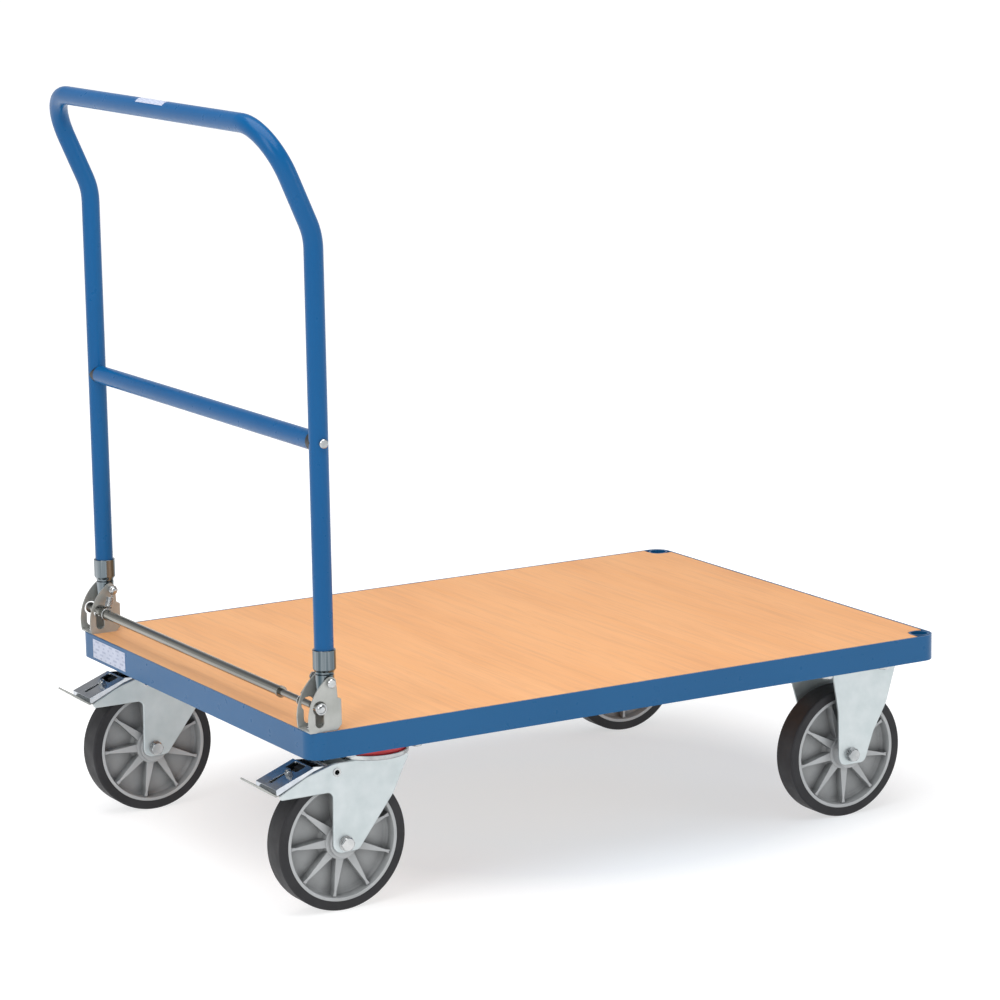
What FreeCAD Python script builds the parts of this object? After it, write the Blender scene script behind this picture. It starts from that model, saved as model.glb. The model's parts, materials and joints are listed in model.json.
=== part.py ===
import FreeCAD, Part
import Sketcher
import math
import os

from FreeCAD import Placement, Rotation, Vector

# Platform trolley with a folding push handle, a foot-operated lock rod, two
# braked swivel casters under the handle end and two fixed casters at the front.
#
# Frame: +X runs from the handle end to the front, +Y to the left, +Z up.
# The origin is on the floor, in the middle of the whole trolley's outline.
# "Rear" is the handle end, "right" is the -Y side. All sizes are millimetres.

SIZES = (
    # platform frame and deck
    ("deck_length", 1070), ("deck_width", 770), ("rear_face_x", -504),
    ("caster_height", 238), ("rim_height", 38.5), ("rim_wall", 3), ("rim_flange", 40),
    ("rim_corner_radius", 25), ("deck_thickness", 15), ("deck_gap", 1),
    ("channel_width", 40), ("channel_wall", 3), ("middle_member_pitch", 233),
    ("deck_screw_radius", 2.4), ("deck_screw_length", 14),
    ("deck_screw_head_radius", 4.5), ("deck_screw_head_height", 2),
    ("deck_screw_pilot_radius", 2.5), ("deck_screw_inset", 70), ("deck_screw_inner", 230),
    ("stake_socket_radius", 15.5), ("stake_bore_radius", 13),
    ("stake_inset_x", 20), ("stake_inset_y", 22), ("stake_notch_gap", 1),
    ("plate_label_length", 116), ("plate_label_height", 29), ("plate_label_thickness", 0.4),
    ("plate_label_centre_y", 278),
    # handle brackets and their bolts
    ("bracket_inset_y", 22.7), ("bracket_width", 37), ("bracket_sheet", 2.5),
    ("pivot_x", 35), ("pivot_height", 67.6), ("pivot_radius", 4), ("pivot_hole_radius", 4.05),
    ("bracket_top_radius", 8.5), ("bracket_back_radius", 71.6),
    ("keyhole_x", 17), ("keyhole_z", 34), ("keyhole_radius", 10.3), ("keyhole_slot_radius", 7),
    ("keyhole_slot_z", 13.5), ("web_back_x", 48.2), ("web_front_x", 50.7), ("web_bottom", 7.5),
    ("web_top", 43.5), ("bracket_neck_x", 45), ("base_front_x", 43), ("base_rear_x", 1.8),
    ("bracket_bolt_radius", 4), ("bracket_bolt_rear_x", 12), ("bracket_bolt_front_x", 37),
    ("bracket_bolt_head_radius", 6.5), ("bracket_bolt_head_height", 3.5),
    ("bracket_nut_across", 13), ("bracket_nut_height", 6.5),
    ("pivot_head_radius", 6.5), ("pivot_head_height", 5.5), ("pivot_bolt_length", 49.8),
    ("pivot_nut_across", 13), ("pivot_nut_height", 4),
    # handle
    ("tube_radius", 13.6), ("tube_wall", 2), ("leg_x", 35.6), ("leg_start", 88),
    ("kink_height", 683), ("kink_radius", 90), ("top_bar_x", -29), ("top_bar_height", 832),
    ("top_bend_radius", 75), ("cross_bar_height", 400.5), ("cross_bar_gap", 0.3),
    ("cap_plug_depth", 25), ("bar_screw_radius", 4), ("bar_screw_head_radius", 6.5),
    ("bar_screw_head_height", 4), ("bar_screw_length", 42),
    ("ferrule_radius", 16.2), ("ferrule_top", 112), ("ferrule_bottom", 82),
    ("neck_radius", 13.2), ("neck_bottom", 74), ("tongue_thickness", 23), ("tongue_bottom", 55.5),
    ("heel_width", 16), ("heel_bottom", 40),
    ("handle_label_length", 88), ("handle_label_thickness", 0.3),
    ("handle_label_half_angle", 24), ("handle_label_tilt", 63), ("handle_label_centre_y", -17),
    # lock rod and its springs
    ("rod_radius", 5), ("rod_x", 18.5), ("rod_height", 33.5), ("rod_end_inset", 1.6),
    ("sleeve_radius", 7.2), ("sleeve_bore_radius", 5), ("sleeve_right_inset", 121),
    ("sleeve_left_inset", 42.5), ("sleeve_collar_radius", 8.4), ("sleeve_collar_length", 4),
    ("rod_washer_radius", 8.2), ("rod_washer_thickness", 2.3),
    ("rod_screw_head_radius", 6.6), ("rod_screw_head_height", 3.2),
    ("spring_inset_y", 48), ("spring_coil_radius", 5.2), ("spring_wire_radius", 0.9),
    ("spring_pitch", 2.2), ("spring_lean", 15), ("spring_low_gap", 2.6), ("spring_high_gap", 8),
    # casters
    ("caster_inset_y", 74), ("swivel_axle_x", 74), ("fixed_axle_x", 937), ("trail", 57),
    ("axle_radius", 6), ("axle_hole_radius", 6.05), ("axle_head_across", 18),
    ("axle_head_height", 6.5), ("axle_nut_height", 10), ("axle_spare", 2),
    ("axle_washer_radius", 11), ("axle_washer_thickness", 2.5),
    ("fork_outer", 58), ("fork_inner", 52), ("fork_sheet", 3), ("crown_height", 218),
    ("fixed_fork_outer", 71), ("fixed_fork_inner", 65),
    ("top_plate_length", 140), ("top_plate_width", 110), ("top_plate_thickness", 4),
    ("fixed_plate_length", 172), ("top_plate_corner", 10),
    ("bolt_spacing_x", 105), ("bolt_spacing_y", 80), ("fixed_bolt_spacing_y", 90),
    ("caster_bolt_radius", 5),
    ("caster_bolt_hole_radius", 5.2), ("caster_bolt_head_across", 16),
    ("caster_bolt_head_height", 6.4), ("caster_bolt_length", 17), ("caster_nut_height", 8),
    ("dome_radius", 37), ("dome_depth", 7), ("kingpin_radius", 6), ("kingpin_hole_radius", 6.06),
    ("kingpin_nut_across", 19), ("kingpin_nut_height", 9), ("kingpin_gap", 0.4),
    ("race_radius", 55), ("race_bore_radius", 12), ("race_height", 7.6), ("race_sheet", 2.2),
    ("seal_radius", 50.8), ("seal_bore_radius", 38.2), ("seal_height", 11.6),
    # brake
    ("brake_pivot_x", -11.5), ("brake_pivot_height", 204.2), ("eyelet_radius", 4.5),
    ("eyelet_bore_radius", 3.6), ("eyelet_lip_radius", 6.2), ("eyelet_lip", 0.8),
    ("pedal_hole_radius", 4.56), ("pedal_width", 51), ("pedal_inner", 47), ("pedal_sheet", 2),
    ("cap_width", 62), ("cap_inner", 58.6), ("pedal_tab_height", 4),
    ("pedal_lip_x", -108), ("pedal_lip_height", 193.5), ("pedal_rear_x", -49),
    ("pedal_rear_height", 216.4), ("tread_tip_x", -134), ("tread_tip_height", 204),
    ("tread_sheet", 3), ("tread_inner_width", 46), ("shoe_width", 30),
    ("brake_screw_radius", 3), ("brake_nut_across", 10),
    ("brake_nut_height", 5),
    # wheels
    ("wheel_radius", 100), ("tyre_half_width", 20), ("tyre_bore_radius", 86.3),
    ("tyre_shoulder", 3), ("rim_ring_radius", 86.3), ("rim_ring_inner", 81.5),
    ("rim_bed_inner", 79), ("web_half", 3), ("hub_half_width", 25.6),
    ("fixed_hub_half_width", 32.1), ("hub_radius", 22),
    ("hub_collar_radius", 26), ("hub_bore_radius", 10), ("spoke_half_width", 17),
    ("spoke_root_half", 6.5), ("spoke_tip_half", 1.6), ("spoke_count", 9),
    ("bush_radius", 10), ("bush_half_width", 25.7), ("fixed_bush_half_width", 32.2),
)

SIDES = {"right": -1, "left": 1}
ALONG_Y = Rotation(Vector(1, 0, 0), -90)   # turns a part's own Z axis onto +Y
AGAINST_Y = Rotation(Vector(1, 0, 0), 90)  # turns it onto -Y
UPRIGHT = Rotation()

doc = FreeCAD.newDocument("PlatformTrolley")
sheet = doc.addObject("Spreadsheet::Sheet", "Sizes")
for row, (alias, value) in enumerate(SIZES, start=1):
    sheet.set(f"A{row}", alias)
    sheet.set(f"B{row}", str(value))
    sheet.setAlias(f"B{row}", alias)
doc.recompute()

nodes = []


# ---------------------------------------------------------------- helpers

def size(alias):
    """Value of one cell of the size sheet."""
    return float(sheet.get(alias))


def rear(distance):
    """X of a point that lies this far in front of the rear face."""
    return size("rear_face_x") + distance


def from_side(side, inset):
    """Y of a point that lies this far inside the right (-1) or left (+1) face."""
    return side * (size("deck_width") / 2 - inset)


def deck_top():
    return size("caster_height") + size("rim_height")


def bind(piece, **formulas):
    """Bind properties of an object to cells: bind(box, Length="deck_length")."""
    for name, formula in formulas.items():
        piece.setExpression(name, formula if "Sizes." in formula else "Sizes." + formula)
    return piece


def keep(label, piece, place=None):
    """Give a finished sub-part its label and place, and list it for export."""
    piece.Label = label
    if place is not None:
        piece.Placement = place
    nodes.append(piece)
    return piece


def primitive(kind, name, place=None, **formulas):
    piece = doc.addObject("Part::" + kind, name)
    bind(piece, **formulas)
    if place is not None:
        piece.Placement = place
    return piece


def rod(name, radius, length, place=None):
    return primitive("Cylinder", name, place, Radius=radius, Height=length)


def cut(name, base, tool):
    piece = doc.addObject("Part::Cut", name)
    piece.Base = base
    piece.Tool = tool
    return piece


def fuse(name, pieces):
    piece = doc.addObject("Part::MultiFuse", name)
    piece.Shapes = pieces
    return piece


def group(name, pieces):
    """Several separate solids that share one node."""
    piece = doc.addObject("Part::Compound", name)
    piece.Links = pieces
    return piece


def new_body(name):
    return doc.addObject("PartDesign::Body", name)


def sketch_on(body, role, offset=0.0):
    """Sketch on one of the body's own origin planes, lifted along its normal."""
    sketch = body.newObject("Sketcher::SketchObject", "Outline")
    plane = next(f for f in body.Origin.OriginFeatures if f.Role == role)
    sketch.AttachmentSupport = (plane, [""])
    sketch.MapMode = "FlatFace"
    sketch.AttachmentOffset = Placement(Vector(0, 0, offset), Rotation())
    return sketch


def draw(sketch, corners):
    """Closed outline through corners (x, y, radius); a radius rounds its corner."""
    trimmed = []
    count = len(corners)
    for index, (x, y, radius) in enumerate(corners):
        here = Vector(x, y, 0)
        before = (Vector(*corners[index - 1][:2], 0) - here).normalize()
        after = (Vector(*corners[(index + 1) % count][:2], 0) - here).normalize()
        if radius == 0:
            trimmed.append((here, here))
            continue
        half = before.getAngle(after) / 2
        reach = radius / math.tan(half)
        start = here + before * reach
        end = here + after * reach
        centre = here + (before + after).normalize() * (radius / math.sin(half))
        middle = centre + (here - centre).normalize() * radius
        sketch.addGeometry(Part.Arc(start, middle, end))
        trimmed.append((start, end))
    for index in range(count):
        start = trimmed[index][1]
        end = trimmed[(index + 1) % count][0]
        if start.distanceToPoint(end) > 1e-6:
            sketch.addGeometry(Part.LineSegment(start, end))


def draw_rectangle(sketch, x0, y0, x1, y1, radius=0.0):
    draw(sketch, [(x0, y0, radius), (x1, y0, radius), (x1, y1, radius), (x0, y1, radius)])


def draw_flatted_circle(sketch, radius, half_width):
    """Circle about the origin cut off flat at y = half_width and y = -half_width."""
    reach = math.sqrt(radius ** 2 - half_width ** 2)
    for sign in (-1, 1):
        low = Vector(sign * reach, -half_width, 0)
        high = Vector(sign * reach, half_width, 0)
        sketch.addGeometry(Part.Arc(low, Vector(sign * radius, 0, 0), high))
        flat = sign * half_width
        sketch.addGeometry(Part.LineSegment(Vector(-reach, flat, 0), Vector(reach, flat, 0)))


def draw_circle(sketch, x, y, radius):
    """Circle whose radius is constrained to a cell of the size sheet."""
    index = sketch.addGeometry(Part.Circle(Vector(x, y, 0), Vector(0, 0, 1), size(radius)))
    constraint = sketch.addConstraint(Sketcher.Constraint("Radius", index, size(radius)))
    sketch.setExpression(f"Constraints[{constraint}]", "Sizes." + radius)


def pad(body, sketch, length, symmetric=False, backwards=False):
    feature = body.newObject("PartDesign::Pad", "Pad")
    feature.Profile = sketch
    feature.SideType = "Symmetric" if symmetric else "One side"
    feature.Reversed = backwards
    bind(feature, Length=length)
    return feature


def pocket(body, sketch, length, symmetric=False, backwards=False):
    """Cut a sketch out of the body and make sure that something was cut."""
    doc.recompute()
    before = body.Shape.Volume
    feature = body.newObject("PartDesign::Pocket", "Pocket")
    feature.Profile = sketch
    feature.SideType = "Symmetric" if symmetric else "One side"
    feature.Reversed = backwards
    bind(feature, Length=length)
    doc.recompute()
    assert body.Shape.Volume < before - 1e-3, body.Label + ": the pocket cut nothing"
    return feature


def revolve(body, sketch):
    feature = body.newObject("PartDesign::Revolution", "Revolution")
    feature.Profile = sketch
    feature.ReferenceAxis = (sketch, ["V_Axis"])
    feature.Angle = 360
    return feature


def fillet_edges(body, radius, wanted):
    """Round every edge of the body for which wanted(edge) is true."""
    doc.recompute()
    names = [f"Edge{i}" for i, edge in enumerate(body.Shape.Edges, start=1) if wanted(edge)]
    assert names, body.Label + ": no edge to round"
    base = body.Tip
    feature = body.newObject("PartDesign::Fillet", "Fillet")
    feature.Base = (base, names)
    bind(feature, Radius=radius)
    return feature


def chamfered_hexagon(name, across, height):
    """Hexagon standing on Z=0 whose top corners are turned down as on a bolt head."""
    a = size(across)
    prism = primitive("Prism", name + "_prism", Circumradius=f"Sizes.{across} / sqrt(3)",
                      Height=height)
    prism.Polygon = 6
    ball = primitive("Sphere", name + "_ball", Radius=f"Sizes.{across} * 0.75")
    sink = math.sqrt((0.75 * a) ** 2 - (0.47 * a) ** 2)
    ball.Placement = Placement(Vector(0, 0, size(height) - sink), UPRIGHT)
    common = doc.addObject("Part::MultiCommon", name + "_head")
    common.Shapes = [prism, ball]
    return common


def hex_bolt(name, radius, length, across, head_height, place):
    """Bolt along Z: the head lies below Z=0 and the shank runs up from it."""
    head = chamfered_hexagon(name, across, head_height)
    head.Placement = Placement(Vector(0, 0, 0), Rotation(Vector(1, 0, 0), 180))
    bolt = fuse(name, [head, rod(name + "_shank", radius, length)])
    bolt.Placement = place
    return bolt


def round_bolt(name, radius, length, head_radius, head_height, place):
    """Round-headed bolt along Z, head below Z=0, edge of the head softened."""
    head = rod(name + "_disc", head_radius, head_height,
               Placement(Vector(0, 0, -size(head_height)), UPRIGHT))
    cap = primitive("Sphere", name + "_cap", Radius=f"Sizes.{head_radius} * 1.25")
    rise = math.sqrt((1.25 * size(head_radius)) ** 2 - (0.8 * size(head_radius)) ** 2)
    cap.Placement = Placement(Vector(0, 0, rise - size(head_height)), UPRIGHT)
    crowned = doc.addObject("Part::MultiCommon", name + "_head")
    crowned.Shapes = [head, cap]
    bolt = fuse(name, [crowned, rod(name + "_shank", radius, length)])
    bolt.Placement = place
    return bolt


def hex_nut(name, across, height, bore, place):
    """Nut standing on Z=0 with a clear bore."""
    blank = chamfered_hexagon(name, across, height)
    nut = cut(name, blank, rod(name + "_bore", bore, height))
    nut.Placement = place
    return nut


def cap_nut(name, across, height, bore, place):
    """Nut standing on Z=0 that closes with a dome."""
    blank = chamfered_hexagon(name, across, height)
    dome = primitive("Sphere", name + "_dome", Radius=f"Sizes.{across} * 0.46")
    dome.Angle1 = 0
    dome.Placement = Placement(Vector(0, 0, size(height) - 0.15 * size(across)), UPRIGHT)
    hole = rod(name + "_bore", bore, height)
    nut = cut(name, fuse(name + "_body", [blank, dome]), hole)
    nut.Placement = place
    return nut


# ---------------------------------------------------------------- platform

def cross_member_stations():
    """Distance in front of the rear face of every cross member."""
    swivel_axis = size("swivel_axle_x") + size("trail")
    half = size("bolt_spacing_x") / 2
    middle = size("deck_length") / 2
    pitch = size("middle_member_pitch") / 2
    return (swivel_axis - half, swivel_axis + half, middle - pitch, middle + pitch,
            size("fixed_axle_x") - half, size("fixed_axle_x") + half)


def caster_bolt_points():
    """Centres of the caster bolts, from the rear face and from the nearer side."""
    swivel_axis = size("swivel_axle_x") + size("trail")
    half_x = size("bolt_spacing_x") / 2
    points = []
    for centre, spacing_y in ((swivel_axis, "bolt_spacing_y"),
                              (size("fixed_axle_x"), "fixed_bolt_spacing_y")):
        half_y = size(spacing_y) / 2
        points += [(centre + dx, size("caster_inset_y") + dy)
                   for dx in (-half_x, half_x) for dy in (-half_y, half_y)]
    return points


def perimeter_frame():
    """Angle-section ring: an upright rim all round with a flange turned inwards."""
    body = new_body("PerimeterFrame")
    half_x = size("deck_length") / 2
    half_y = size("deck_width") / 2
    corner = size("rim_corner_radius")
    for inset, height in ((size("rim_wall"), "rim_height"), (size("rim_flange"), "rim_wall")):
        outline = sketch_on(body, "XY_Plane")
        draw_rectangle(outline, -half_x, -half_y, half_x, half_y, corner)
        inner_corner = max(corner - inset, size("rim_wall"))
        draw_rectangle(outline, inset - half_x, inset - half_y, half_x - inset,
                       half_y - inset, inner_corner)
        pad(body, outline, height)
    holes = sketch_on(body, "XY_Plane")
    for x, inset in caster_bolt_points():
        if inset < size("rim_flange"):
            for side in (-1, 1):
                draw_circle(holes, x - half_x, from_side(side, inset), "caster_bolt_hole_radius")
    pocket(body, holes, "rim_wall", backwards=True)
    keep("perimeter_frame", body,
         Placement(Vector(rear(half_x), 0, size("caster_height")), UPRIGHT))


def deck_screw_rows():
    return (size("deck_screw_inset"), size("deck_screw_inner"))


def cross_members():
    """C-section channels between the long flanges; they carry deck and casters."""
    members = []
    half = size("channel_width") / 2
    wall = size("channel_wall")
    height = size("rim_height") - size("deck_thickness")
    span = size("deck_width") - 2 * size("rim_flange")
    for number, station in enumerate(cross_member_stations(), start=1):
        body = new_body(f"CrossMember{number}")
        section = sketch_on(body, "XZ_Plane")
        draw(section, [(-half, 0, 0), (half, 0, wall), (half, height, wall), (-half, height, 0),
                       (-half, height - wall, 0), (half - wall, height - wall, 0),
                       (half - wall, wall, 0), (-half, wall, 0)])
        bar = pad(body, section, "rim_wall", symmetric=True)
        bar.setExpression("Length", "Sizes.deck_width - 2 * Sizes.rim_flange")
        top_holes = sketch_on(body, "XY_Plane", height)
        for side in (-1, 1):
            for inset in deck_screw_rows():
                draw_circle(top_holes, 0, from_side(side, inset), "deck_screw_pilot_radius")
        pocket(body, top_holes, "channel_wall")
        bolt_insets = [inset for x, inset in caster_bolt_points()
                       if abs(station - x) < 1 and inset > size("rim_flange")]
        if bolt_insets:
            bolt_holes = sketch_on(body, "XY_Plane")
            for side in (-1, 1):
                draw_circle(bolt_holes, 0, from_side(side, bolt_insets[0]),
                            "caster_bolt_hole_radius")
            pocket(body, bolt_holes, "channel_wall", backwards=True)
        body.Placement = Placement(Vector(rear(station), 0, size("caster_height")), UPRIGHT)
        members.append(body)
    assert abs(members[0].Shape.BoundBox.YLength - span) < 0.01
    keep("cross_members", group("CrossMembers", members))


def deck_board():
    """Wooden board lying in the rim, notched round the two front stake sockets."""
    body = new_body("DeckBoard")
    half_x = size("deck_length") / 2
    half_y = size("deck_width") / 2
    inset = size("rim_wall") + size("deck_gap")
    corner = size("rim_corner_radius") - inset
    reach = size("stake_socket_radius") + size("stake_notch_gap")
    notch_x = half_x - size("stake_inset_x") - reach
    notch_y = half_y - size("stake_inset_y") - reach
    right_x = half_x - inset
    side_y = half_y - inset
    outline = sketch_on(body, "XY_Plane")
    draw(outline, [(-right_x, -side_y, corner), (notch_x, -side_y, 0), (notch_x, -notch_y, reach),
                   (right_x, -notch_y, 0), (right_x, notch_y, 0), (notch_x, notch_y, reach),
                   (notch_x, side_y, 0), (-right_x, side_y, corner)])
    pad(body, outline, "deck_thickness")
    pilots = sketch_on(body, "XY_Plane")
    for station in cross_member_stations():
        for side in (-1, 1):
            for row_inset in deck_screw_rows():
                draw_circle(pilots, station - half_x, from_side(side, row_inset),
                            "deck_screw_pilot_radius")
    pocket(body, pilots, "deck_screw_length", backwards=True).setExpression(
        "Length", "Sizes.deck_screw_length - Sizes.channel_wall + 0.3")
    bolts = sketch_on(body, "XY_Plane")
    for side in (-1, 1):
        for x in (size("bracket_bolt_rear_x"), size("bracket_bolt_front_x")):
            draw_circle(bolts, x - half_x, from_side(side, size("bracket_inset_y")),
                        "bracket_bolt_radius")
    pocket(body, bolts, "deck_thickness", backwards=True)
    keep("deck_board", body,
         Placement(Vector(rear(half_x), 0, deck_top() - size("deck_thickness")), UPRIGHT))


def deck_screws():
    screws = []
    underside = deck_top() - size("deck_thickness") - size("channel_wall")
    for station in cross_member_stations():
        for side in (-1, 1):
            for inset in deck_screw_rows():
                place = Placement(Vector(rear(station), from_side(side, inset), underside), UPRIGHT)
                screws.append(round_bolt(f"DeckScrew{len(screws)}", "deck_screw_radius",
                                         "deck_screw_length", "deck_screw_head_radius",
                                         "deck_screw_head_height", place))
    keep("deck_screws", group("DeckScrews", screws))


def stake_sockets():
    """Open tubes in the front corners that take the foot of a stake or end frame."""
    for name, side in SIDES.items():
        outer = rod(f"StakeTube_{name}", "stake_socket_radius",
                    "Sizes.rim_height - Sizes.rim_wall")
        bore = rod(f"StakeBore_{name}", "stake_bore_radius", "Sizes.rim_height")
        place = Placement(Vector(rear(size("deck_length") - size("stake_inset_x")),
                                 from_side(side, size("stake_inset_y")),
                                 size("caster_height") + size("rim_wall")), UPRIGHT)
        keep(f"{name}_stake_socket", cut(f"StakeSocket_{name}", outer, bore), place)


def frame_label():
    """Blank rating plate stuck to the rear rim."""
    plate = primitive("Box", "FrameLabel", Length="plate_label_thickness",
                      Width="plate_label_length", Height="plate_label_height")
    lift = (size("rim_height") - size("plate_label_height")) / 2
    corner = Vector(rear(-size("plate_label_thickness")),
                    size("plate_label_centre_y") - size("plate_label_length") / 2,
                    size("caster_height") + lift)
    keep("frame_label", plate, Placement(corner, UPRIGHT))


# ---------------------------------------------------------------- handle brackets

def bracket_side_outline(sketch):
    """Side plate: curved back edge, rounded nose at the pivot, stepped front edge."""
    nose = Vector(size("pivot_x"), size("pivot_height"), 0)
    nose_radius = size("bracket_top_radius")
    back_radius = size("bracket_back_radius")
    low = Vector(size("base_rear_x"), 0, 0)
    # the back arc passes through the rear foot and touches the nose circle from outside
    centre = back_arc_centre(nose, nose_radius, low, back_radius)
    touch = centre + (nose - centre).normalize() * back_radius
    bulge_angle = (angle_of(low - centre) + angle_of(touch - centre)) / 2
    bulge = centre + Vector(math.cos(bulge_angle), math.sin(bulge_angle), 0) * back_radius
    nose_front = nose + Vector(nose_radius, 0, 0)
    crest = nose + (touch - nose + nose_front - nose).normalize() * nose_radius
    step = size("web_top") + size("bracket_sheet")
    points = [nose_front, Vector(size("bracket_neck_x"), step, 0),
              Vector(size("web_front_x"), size("web_top"), 0),
              Vector(size("web_front_x"), size("web_bottom"), 0),
              Vector(size("base_front_x"), 0, 0), low]
    sketch.addGeometry(Part.Arc(low, bulge, touch))
    sketch.addGeometry(Part.Arc(touch, crest, nose_front))
    for start, end in zip(points, points[1:]):
        sketch.addGeometry(Part.LineSegment(start, end))


def angle_of(vector):
    return math.atan2(vector.y, vector.x) % (2 * math.pi)


def back_arc_centre(nose, nose_radius, low, back_radius):
    """Centre of the arc through the foot that holds the nose circle inside it."""
    to_nose = back_radius - nose_radius
    gap = nose - low
    distance = gap.Length
    along = (back_radius ** 2 - to_nose ** 2 + distance ** 2) / (2 * distance)
    across = math.sqrt(back_radius ** 2 - along ** 2)
    unit = Vector(gap).normalize()
    return low + unit * along + Vector(unit.y, -unit.x, 0) * across


def keyhole(sketch):
    """Round mouth over a narrower slot: the lock rod rests above and drops down."""
    mouth = Vector(size("keyhole_x"), size("keyhole_z"), 0)
    mouth_radius = size("keyhole_radius")
    slot = size("keyhole_slot_radius")
    bottom = Vector(size("keyhole_x"), size("keyhole_slot_z"), 0)
    drop = math.sqrt(mouth_radius ** 2 - slot ** 2)
    right_neck = mouth + Vector(slot, -drop, 0)
    left_neck = mouth + Vector(-slot, -drop, 0)
    right_low = bottom + Vector(slot, 0, 0)
    left_low = bottom + Vector(-slot, 0, 0)
    sketch.addGeometry(Part.Arc(right_neck, mouth + Vector(0, mouth_radius, 0), left_neck))
    sketch.addGeometry(Part.LineSegment(left_neck, left_low))
    sketch.addGeometry(Part.Arc(left_low, bottom + Vector(0, -slot, 0), right_low))
    sketch.addGeometry(Part.LineSegment(right_low, right_neck))


def bracket(name, side):
    """Folded sheet bracket: base, two side plates and a low web across the front."""
    body = new_body(f"Bracket_{name}")
    outline = sketch_on(body, "XZ_Plane")
    bracket_side_outline(outline)
    pad(body, outline, "bracket_width", symmetric=True)
    inside = sketch_on(body, "XZ_Plane")
    draw_rectangle(inside, -10, size("bracket_sheet"), size("web_back_x"), 90)
    pocket(body, inside, "bracket_width", symmetric=True).setExpression(
        "Length", "Sizes.bracket_width - 2 * Sizes.bracket_sheet")
    holes = sketch_on(body, "XZ_Plane")
    keyhole(holes)
    draw_circle(holes, size("pivot_x"), size("pivot_height"), "pivot_hole_radius")
    pocket(body, holes, "bracket_width", symmetric=True)
    bolt_holes = sketch_on(body, "XY_Plane")
    for x in (size("bracket_bolt_rear_x"), size("bracket_bolt_front_x")):
        draw_circle(bolt_holes, x, 0, "bracket_bolt_radius")
    pocket(body, bolt_holes, "bracket_sheet", backwards=True)
    keep(f"{name}_handle_bracket", body,
         Placement(Vector(rear(0), from_side(side, size("bracket_inset_y")), deck_top()),
                   UPRIGHT))


def bracket_bolts():
    """Bolts through the bracket bases and the deck, with nuts under the board."""
    bolts = []
    nuts = []
    flipped = Rotation(Vector(1, 0, 0), 180)
    length = "Sizes.bracket_sheet + Sizes.deck_thickness + Sizes.bracket_nut_height + 1"
    for name, side in SIDES.items():
        for x in (size("bracket_bolt_rear_x"), size("bracket_bolt_front_x")):
            spot = Vector(rear(x), from_side(side, size("bracket_inset_y")), 0)
            head_at = spot + Vector(0, 0, deck_top() + size("bracket_sheet"))
            nut_at = spot + Vector(0, 0, deck_top() - size("deck_thickness"))
            bolts.append(round_bolt(f"BracketBolt{len(bolts)}", "bracket_bolt_radius", length,
                                    "bracket_bolt_head_radius", "bracket_bolt_head_height",
                                    Placement(head_at, flipped)))
            nuts.append(hex_nut(f"BracketNut{len(nuts)}", "bracket_nut_across",
                                "bracket_nut_height", "bracket_bolt_radius",
                                Placement(nut_at, flipped)))
    keep("bracket_bolts", group("BracketBolts", bolts + nuts))


def pivot_point(side, inset):
    return Vector(rear(size("pivot_x")), from_side(side, inset), deck_top() + size("pivot_height"))


def pivot_bolts():
    """Handle pivots: a bolt from outside, and a cap nut that also holds the spring."""
    bolts = []
    nuts = []
    outer_face = size("bracket_inset_y") - size("bracket_width") / 2
    for name, side in SIDES.items():
        inward = ALONG_Y if side < 0 else AGAINST_Y
        bolts.append(round_bolt(f"PivotBolt_{name}", "pivot_radius", "pivot_bolt_length",
                                "pivot_head_radius", "pivot_head_height",
                                Placement(pivot_point(side, outer_face), inward)))
        nut_face = outer_face + size("pivot_bolt_length") - size("pivot_nut_height") + 1
        nuts.append(cap_nut(f"PivotNut_{name}", "pivot_nut_across", "pivot_nut_height",
                            "pivot_radius", Placement(pivot_point(side, nut_face), inward)))
    keep("handle_pivot_bolts", group("PivotBolts", bolts + nuts))


# ---------------------------------------------------------------- handle

def bent_wire(points, radii):
    """Straight runs through the points, joined by tangent arcs of the given radii."""
    edges = []
    last = points[0]
    for index in range(1, len(points) - 1):
        here = points[index]
        before = (points[index - 1] - here).normalize()
        after = (points[index + 1] - here).normalize()
        half = before.getAngle(after) / 2
        radius = radii[index - 1]
        start = here + before * (radius / math.tan(half))
        end = here + after * (radius / math.tan(half))
        centre = here + (before + after).normalize() * (radius / math.sin(half))
        middle = centre + (here - centre).normalize() * radius
        edges.append(Part.LineSegment(last, start).toShape())
        edges.append(Part.Arc(start, middle, end).toShape())
        last = end
    edges.append(Part.LineSegment(last, points[-1]).toShape())
    return Part.Wire(edges)


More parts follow.
